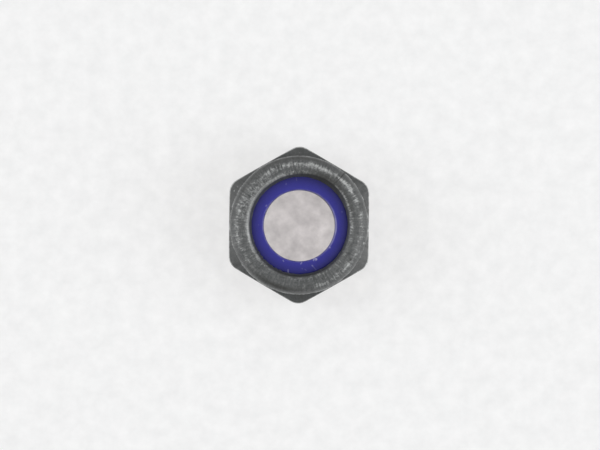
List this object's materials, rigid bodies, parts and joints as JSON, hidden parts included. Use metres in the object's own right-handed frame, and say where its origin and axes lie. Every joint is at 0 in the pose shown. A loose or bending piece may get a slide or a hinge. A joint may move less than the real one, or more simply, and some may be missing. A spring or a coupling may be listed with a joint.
{
  "type": "nylon-insert lock nut",
  "caption": "Dark steel hexagon lock nut with a round collar rolled in over a blue nylon ring that grips the thread of a screw.",
  "frame": {"origin": "centre of the bearing face, where the thread's axis meets it", "axes": "+Z along the thread's axis, from the bearing face towards the nylon ring; +X square to one flat of the hexagon, so corners lie on +Y and -Y"},
  "size_m": [0.0168, 0.0188, 0.01],
  "materials": {
    "dark_steel": "zinc phosphate and oil, dark and matt, rubbed bright in spots round the rolled collar",
    "blue_nylon": "smooth moulded nylon, lightly nicked at the bore"
  },
  "bodies": {
    "root": {"nut_body": "dark_steel", "nylon_insert": "blue_nylon"}
  },
  "joints": []
}
